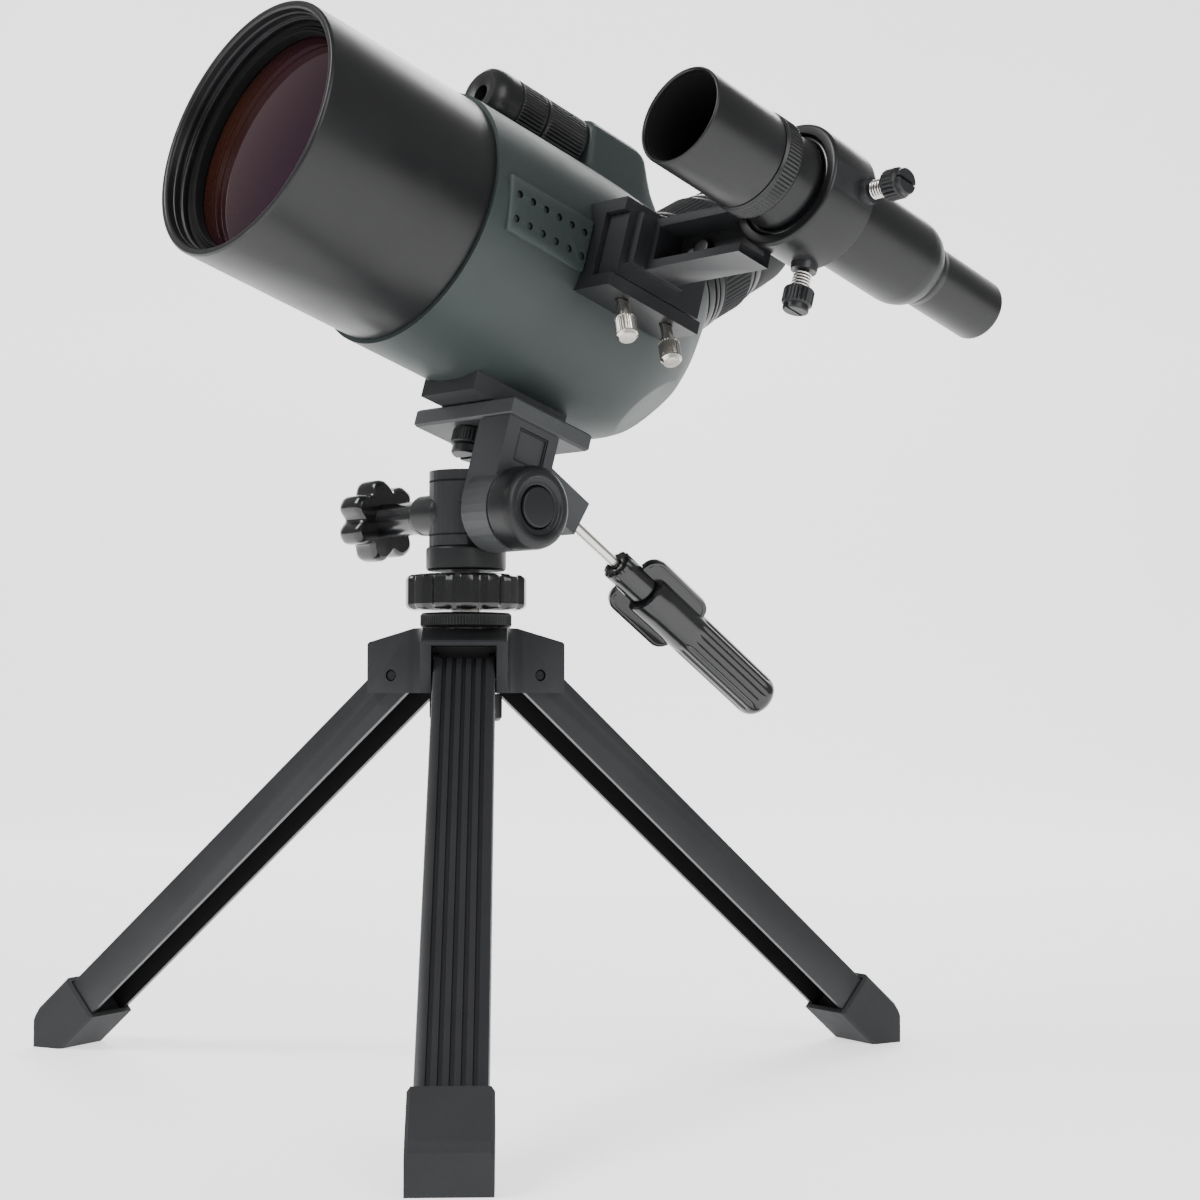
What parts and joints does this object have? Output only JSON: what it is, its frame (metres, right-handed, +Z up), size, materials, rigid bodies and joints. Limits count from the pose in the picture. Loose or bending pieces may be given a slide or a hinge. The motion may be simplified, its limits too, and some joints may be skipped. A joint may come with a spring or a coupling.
{
  "type": "spotting scope",
  "caption": "Angled zoom spotting scope with a side finder on a pan and tilt head and a short folding table tripod.",
  "frame": {"origin": "middle of the object's box on the floor", "axes": "+Z up, -Y towards where the objective points, +X towards the finder's side"},
  "size_m": [0.325, 0.3038, 0.351],
  "materials": {
    "satin_black": "satin anodised",
    "green_armour": "soft satin",
    "black_rubber": "matte",
    "leg_metal": "satin",
    "grey_plastic": "matte",
    "dark_plastic": "matte",
    "gloss_black": "gloss",
    "nickel": "polished",
    "steel": "bright",
    "coated_glass": "coated",
    "prism_glass": "clear"
  },
  "bodies": {
    "tripod": {"hub": "leg_metal", "hub_nut": "dark_plastic", "centre_stud": "steel", "leg_pin_1": "steel", "leg_pin_2": "steel", "leg_pin_3": "steel"},
    "leg_one": {"leg_1": "leg_metal", "foot_1": "black_rubber"},
    "leg_two": {"leg_2": "leg_metal", "foot_2": "black_rubber"},
    "leg_three": {"leg_3": "leg_metal", "foot_3": "black_rubber"},
    "lock_ring": {"pan_lock_ring": "dark_plastic"},
    "pan_lock": {"pan_knob": "gloss_black"},
    "pan_head": {"pan_base": "dark_plastic", "clamp_body": "dark_plastic", "tilt_axle": "steel"},
    "tilt_lock": {"tilt_knob": "gloss_black"},
    "scope": {"yoke": "grey_plastic", "head_plate": "grey_plastic", "tilt_boss": "dark_plastic", "tilt_boss_cap": "dark_plastic", "mounting_foot": "black_rubber", "body_shell": "green_armour", "hood": "satin_black", "lens_retaining_ring": "satin_black", "objective_lens": "coated_glass", "focus_spindle": "steel", "erecting_prism": "prism_glass", "eyepiece_barrel": "satin_black", "eyepiece_collar": "satin_black", "eyecup": "black_rubber", "eye_lens": "prism_glass", "finder_shoe": "dark_plastic"},
    "mount_screw": {"camera_screw": "dark_plastic"},
    "handle": {"handle_rod": "steel", "handle_collar": "gloss_black", "handle_grip": "gloss_black"},
    "coarse_focus": {"coarse_focus_knob": "satin_black"},
    "fine_focus": {"fine_focus_knob": "satin_black"},
    "focus_cell": {"focus_carriage": "dark_plastic", "focus_lens": "prism_glass"},
    "zoom": {"zoom_ring": "satin_black"},
    "zoom_cell": {"zoom_carriage": "dark_plastic"},
    "finder": {"finder_bracket": "satin_black", "finder_tube": "satin_black", "finder_objective": "coated_glass", "finder_ocular": "satin_black", "finder_eye_lens": "prism_glass", "finder_o_ring": "black_rubber", "adjusting_spring_1": "dark_plastic", "adjusting_spring_2": "dark_plastic", "adjusting_spring_3": "dark_plastic"},
    "sun_hood": {"finder_hood": "satin_black"},
    "finder_lock": {"finder_lock_ring": "satin_black"},
    "adjuster_one": {"adjusting_screw_1": "satin_black"},
    "adjuster_two": {"adjusting_screw_2": "satin_black"},
    "adjuster_three": {"adjusting_screw_3": "satin_black"},
    "shoe_screw_one": {"shoe_thumbscrew_1": "nickel"},
    "shoe_screw_two": {"shoe_thumbscrew_2": "nickel"}
  },
  "joints": [
    {"name": "pan", "type": "hinge", "parent": "tripod", "child": "pan_head", "pos_m": [0.01034, -0.0262, 0.165], "axis": [0, 0, 1], "continuous": true},
    {"name": "pan_lock_turn", "type": "hinge", "parent": "tripod", "child": "pan_lock", "pos_m": [0.01034, -0.0262, 0.164], "axis": [0, 0, 1], "continuous": true},
    {"name": "lock_ring_turn", "type": "hinge", "parent": "tripod", "child": "lock_ring", "pos_m": [0.01034, -0.0262, 0.155], "axis": [0, 0, 1], "continuous": true},
    {"name": "tilt", "type": "hinge", "parent": "pan_head", "child": "scope", "pos_m": [0.01034, -0.0262, 0.1915], "axis": [-1, 0, 0], "range_deg": [-35, 15]},
    {"name": "tilt_lock_turn", "type": "hinge", "parent": "pan_head", "child": "tilt_lock", "pos_m": [-0.03866, -0.0262, 0.1915], "axis": [1, 0, 0], "continuous": true},
    {"name": "mount_screw_turn", "type": "hinge", "parent": "scope", "child": "mount_screw", "pos_m": [0.00634, -0.02, 0.21574], "axis": [0, 0.2865, 0.9581], "continuous": true},
    {"name": "handle_twist", "type": "hinge", "parent": "scope", "child": "handle", "pos_m": [0.02884, 0.00177, 0.19149], "axis": [0, 0.8387, -0.5446], "range_deg": [-90, 90]},
    {"name": "coarse_focus_turn", "type": "hinge", "parent": "scope", "child": "coarse_focus", "pos_m": [0.01034, -0.09694, 0.35983], "axis": [0, 0.9581, -0.2865], "range_deg": [-720, 720]},
    {"name": "focus_travel", "type": "slide", "parent": "scope", "child": "focus_cell", "axis": [0, 0.9581, -0.2865], "range_m": [-0.006, 0.006]},
    {"name": "fine_focus_turn", "type": "hinge", "parent": "scope", "child": "fine_focus", "pos_m": [0.01034, -0.09694, 0.35983], "axis": [0, 0.9581, -0.2865], "continuous": true},
    {"name": "zoom_turn", "type": "hinge", "parent": "scope", "child": "zoom", "pos_m": [0.01034, 0.06572, 0.28248], "axis": [0, 0.8801, 0.4749], "range_deg": [0, 130]},
    {"name": "zoom_travel", "type": "slide", "parent": "scope", "child": "zoom_cell", "axis": [0, 0.8801, 0.4749], "range_m": [0, 0.01]},
    {"name": "finder_slide", "type": "slide", "parent": "scope", "child": "finder", "axis": [0, 0.9581, -0.2865], "range_m": [0, 0.03]},
    {"name": "sun_hood_turn", "type": "hinge", "parent": "finder", "child": "sun_hood", "pos_m": [0.12534, -0.03813, 0.30518], "axis": [0, 0.9581, -0.2865], "continuous": true},
    {"name": "finder_lock_turn", "type": "hinge", "parent": "finder", "child": "finder_lock", "pos_m": [0.12534, -0.03813, 0.30518], "axis": [0, 0.9581, -0.2865], "continuous": true},
    {"name": "adjuster_one_turn", "type": "hinge", "parent": "finder", "child": "adjuster_one", "pos_m": [0.12534, 0.02414, 0.28656], "axis": [0.9986, 0.015, 0.0501], "continuous": true},
    {"name": "adjuster_two_turn", "type": "hinge", "parent": "finder", "child": "adjuster_two", "pos_m": [0.12534, 0.02414, 0.28656], "axis": [-0.7071, 0.2026, 0.6775], "continuous": true},
    {"name": "adjuster_three_turn", "type": "hinge", "parent": "finder", "child": "adjuster_three", "pos_m": [0.12534, 0.02414, 0.28656], "axis": [0, -0.2865, -0.9581], "continuous": true},
    {"name": "shoe_screw_one_turn", "type": "hinge", "parent": "scope", "child": "shoe_screw_one", "pos_m": [0.06534, -0.0049, 0.25924], "axis": [0.4384, -0.2575, -0.8611], "continuous": true},
    {"name": "shoe_screw_two_turn", "type": "hinge", "parent": "scope", "child": "shoe_screw_two", "pos_m": [0.06534, 0.01522, 0.25322], "axis": [0.4384, -0.2575, -0.8611], "continuous": true},
    {"name": "leg_one_fold", "type": "hinge", "parent": "tripod", "child": "leg_one", "pos_m": [0.02626, -0.0399, 0.1365], "axis": [0.6521, 0.7581, 0], "range_deg": [0, 36]},
    {"name": "leg_two_fold", "type": "hinge", "parent": "tripod", "child": "leg_two", "pos_m": [0.01423, -0.00557, 0.1365], "axis": [-0.9826, 0.1857, 0], "range_deg": [0, 36]},
    {"name": "leg_three_fold", "type": "hinge", "parent": "tripod", "child": "leg_three", "pos_m": [-0.00948, -0.03314, 0.1365], "axis": [0.3305, -0.9438, 0], "range_deg": [0, 36]}
  ],
  "couplings": [
    {"joint": "focus_travel", "follows": "coarse_focus_turn", "m_per_rad": 0.00043768},
    {"joint": "zoom_travel", "follows": "zoom_turn", "m_per_rad": 0.004187}
  ]
}
